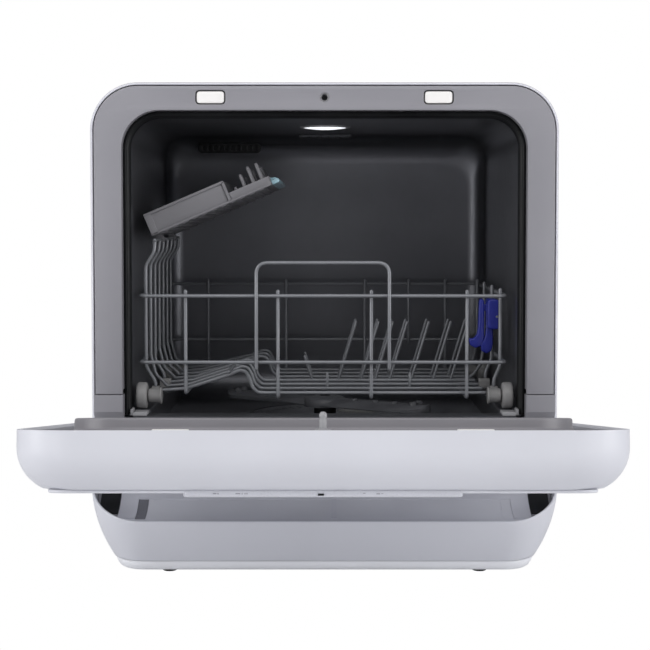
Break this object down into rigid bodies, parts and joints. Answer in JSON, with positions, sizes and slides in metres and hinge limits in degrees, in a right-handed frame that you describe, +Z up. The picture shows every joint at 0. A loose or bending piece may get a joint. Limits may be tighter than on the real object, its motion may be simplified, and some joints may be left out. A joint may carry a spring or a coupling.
{
  "type": "countertop dishwasher",
  "caption": "Compact countertop dishwasher with the front door hinged open over a boat-shaped plinth, showing a rolling wire basket with cutlery tray inside a dark tub.",
  "frame": {"origin": "on the floor plane, under the middle of the whole width and depth with the door open", "axes": "+X to the right seen from the front, +Y to the back of the cabinet, +Z up"},
  "size_m": [0.42, 0.7618, 0.435],
  "materials": {
    "white_paint": "satin",
    "zinc_steel": "satin",
    "grey_plastic": "satin",
    "base_grey": "satin",
    "white_plastic": "satin",
    "pale_plastic": "satin",
    "foot_rubber": "matte",
    "tub_steel": "satin",
    "seal_rubber": "matte",
    "lamp_clear": "clear",
    "grille_grey": "matte",
    "dark_plastic": "matte",
    "light_grey": "satin",
    "filter_steel": "satin",
    "wheel_grey": "satin",
    "pump_metal": "cast",
    "arm_grey": "satin",
    "liner_grey": "satin",
    "board_green": "matte",
    "wire_coat": "gloss",
    "tray_grey": "satin",
    "clip_blue": "gloss"
  },
  "bodies": {
    "cabinet": {"outer_casing": "white_paint", "rear_panel": "zinc_steel", "front_frame": "grey_plastic", "hinge_covers": "grey_plastic", "base_tray": "base_grey", "plinth_skirt": "white_plastic", "plinth_ring": "pale_plastic", "feet": "foot_rubber", "tub": "tub_steel", "tub_gasket": "seal_rubber", "lamp_lens": "lamp_clear", "vent_grille": "grille_grey", "breather_cap": "dark_plastic", "rail_caps": "light_grey", "sump": "dark_plastic", "filter_plate": "filter_steel", "circulation_pump": "pump_metal", "drain_pump": "dark_plastic", "heater": "pump_metal", "hoses": "seal_rubber", "inlet_valve": "white_plastic", "drain_outlet": "dark_plastic", "cord_gland": "dark_plastic", "control_box": "pale_plastic", "fan_housing": "dark_plastic", "arm_bearing": "dark_plastic", "side_tank": "pale_plastic", "hinge_brackets": "zinc_steel", "latch_carrier": "dark_plastic", "casing_screws": "zinc_steel"},
    "door": {"door_shell": "white_paint", "door_front_plate": "white_plastic", "control_bar": "pale_plastic", "door_liner": "liner_grey", "hinge_arms": "zinc_steel", "latch_peg": "wheel_grey", "strike_plates": "white_plastic", "dispenser_body": "light_grey", "touch_board": "board_green"},
    "basket": {"basket_floor": "wire_coat", "basket_front": "wire_coat", "basket_rear": "wire_coat", "basket_left": "wire_coat", "basket_right": "wire_coat", "wheel_carriers": "wheel_grey", "rack_clip": "clip_blue"},
    "spray_arm": {"spray_arm": "arm_grey"},
    "pump_impeller": {"pump_impeller": "dark_plastic"},
    "fan_wheel": {"fan_wheel": "dark_plastic"},
    "catch_left": {"catch_left": "white_plastic"},
    "catch_right": {"catch_right": "white_plastic"},
    "switch_plunger": {"switch_plunger": "light_grey"},
    "filler_lid": {"filler_lid": "white_plastic"},
    "filter_cup": {"filter_cup": "wheel_grey"},
    "dispenser_lid": {"dispenser_lid": "grey_plastic"},
    "wheel_front_left": {"wheel_front_left": "wheel_grey"},
    "wheel_front_right": {"wheel_front_right": "wheel_grey"},
    "wheel_rear_left": {"wheel_rear_left": "wheel_grey"},
    "wheel_rear_right": {"wheel_rear_right": "wheel_grey"},
    "cutlery_tray": {"cutlery_tray": "tray_grey"}
  },
  "joints": [
    {"name": "door_hinge", "type": "hinge", "parent": "cabinet", "child": "door", "pos_m": [0, -0.05513, 0.1045], "axis": [1, 0, 0], "range_deg": [-83.1, 0]},
    {"name": "basket_slide", "type": "slide", "parent": "cabinet", "child": "basket", "axis": [0, -1, 0], "range_m": [0, 0.18]},
    {"name": "spray_arm_spin", "type": "hinge", "parent": "cabinet", "child": "spray_arm", "pos_m": [0, 0.12487, 0.13], "axis": [0, 0, 1], "continuous": true},
    {"name": "pump_spin", "type": "hinge", "parent": "cabinet", "child": "pump_impeller", "pos_m": [-0.092, 0.07487, 0.052], "axis": [0, 1, 0], "continuous": true},
    {"name": "fan_spin", "type": "hinge", "parent": "cabinet", "child": "fan_wheel", "pos_m": [0, 0.31487, 0.345], "axis": [0, 1, 0], "continuous": true},
    {"name": "catch_left_press", "type": "slide", "parent": "cabinet", "child": "catch_left", "axis": [0, 1, 0], "range_m": [0, 0.003], "stiffness_N_per_m": 400},
    {"name": "catch_right_press", "type": "slide", "parent": "cabinet", "child": "catch_right", "axis": [0, 1, 0], "range_m": [0, 0.003], "stiffness_N_per_m": 400},
    {"name": "switch_press", "type": "slide", "parent": "cabinet", "child": "switch_plunger", "axis": [0, 1, 0], "range_m": [0, 0.003], "stiffness_N_per_m": 150},
    {"name": "filler_lid_hinge", "type": "hinge", "parent": "cabinet", "child": "filler_lid", "pos_m": [-0.132, 0.23687, 0.432], "axis": [-1, 0, 0], "range_deg": [0, 95]},
    {"name": "filter_twist", "type": "hinge", "parent": "cabinet", "child": "filter_cup", "pos_m": [0.034, 0.16887, 0.1], "axis": [0, 0, 1], "range_deg": [0, 90]},
    {"name": "dispenser_lid_slide", "type": "slide", "parent": "door", "child": "dispenser_lid", "axis": [0, -0.9928, 0.1201], "range_m": [0, 0.038]},
    {"name": "tray_tilt", "type": "hinge", "parent": "basket", "child": "cutlery_tray", "pos_m": [-0.157, 0.11887, 0.2935], "axis": [0, -1, 0], "range_deg": [-23.1, 10]},
    {"name": "wheel_front_left_roll", "type": "hinge", "parent": "basket", "child": "wheel_front_left", "pos_m": [-0.168, 0.00487, 0.1505], "axis": [1, 0, 0], "continuous": true},
    {"name": "wheel_front_right_roll", "type": "hinge", "parent": "basket", "child": "wheel_front_right", "pos_m": [0.168, 0.00487, 0.1505], "axis": [1, 0, 0], "continuous": true},
    {"name": "wheel_rear_left_roll", "type": "hinge", "parent": "basket", "child": "wheel_rear_left", "pos_m": [-0.168, 0.22487, 0.1505], "axis": [1, 0, 0], "continuous": true},
    {"name": "wheel_rear_right_roll", "type": "hinge", "parent": "basket", "child": "wheel_rear_right", "pos_m": [0.168, 0.22487, 0.1505], "axis": [1, 0, 0], "continuous": true}
  ]
}
